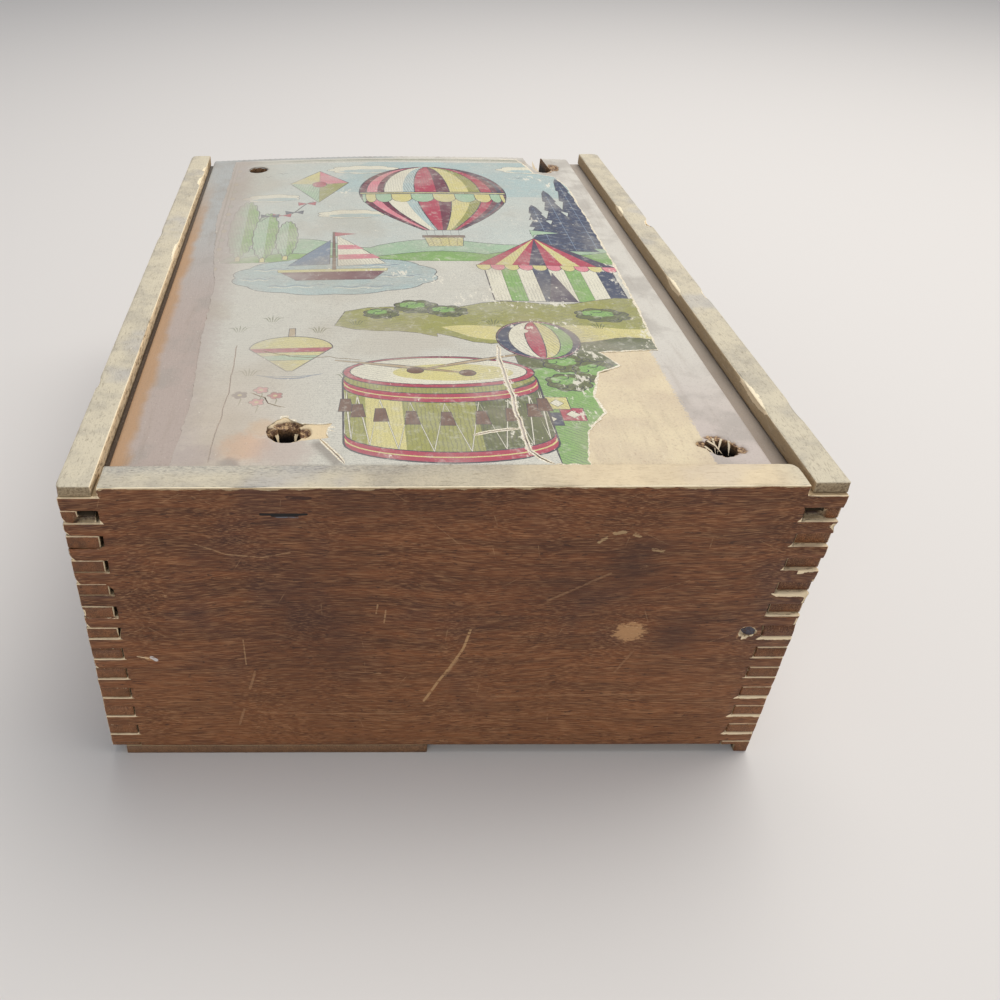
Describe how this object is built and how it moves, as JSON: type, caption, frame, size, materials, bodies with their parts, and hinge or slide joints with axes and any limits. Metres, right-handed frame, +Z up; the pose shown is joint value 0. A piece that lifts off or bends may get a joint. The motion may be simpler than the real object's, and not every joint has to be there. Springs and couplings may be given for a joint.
{
  "type": "sliding lid toy box",
  "caption": "Old wooden toy box with finger-jointed corners, a nailed plank bottom and a grooved sliding lid with a worn paper print.",
  "frame": {"origin": "middle of the box's footprint, on the surface that it stands on", "axes": "+X across the box to the right, +Y along the box from the tall near end to the low far end, +Z up; the lid slides out along +Y"},
  "size_m": [0.23, 0.324, 0.119],
  "materials": {
    "side_wood": "old bare softwood, greyed on top and browned on the faces",
    "end_wood": "stained brown, rubbed and scratched, satin",
    "bottom_wood": "unfinished, dusty",
    "nail_iron": "dull, lightly rusted",
    "lid_wood": "weathered grey, dry",
    "print_paper": "colour-printed paper, matt, soiled, torn and cracked"
  },
  "bodies": {
    "box": {"left_side": "side_wood", "right_side": "side_wood", "near_end": "end_wood", "far_end": "end_wood", "bottom_left_plank": "bottom_wood", "bottom_right_plank": "bottom_wood", "bottom_nails": "nail_iron", "repair_nail": "nail_iron"},
    "lid": {"lid_panel": "lid_wood", "lid_print": "print_paper"}
  },
  "joints": [
    {"name": "lid_slide", "type": "slide", "parent": "box", "child": "lid", "axis": [0, 1, 0], "range_m": [0, 0.315]}
  ]
}
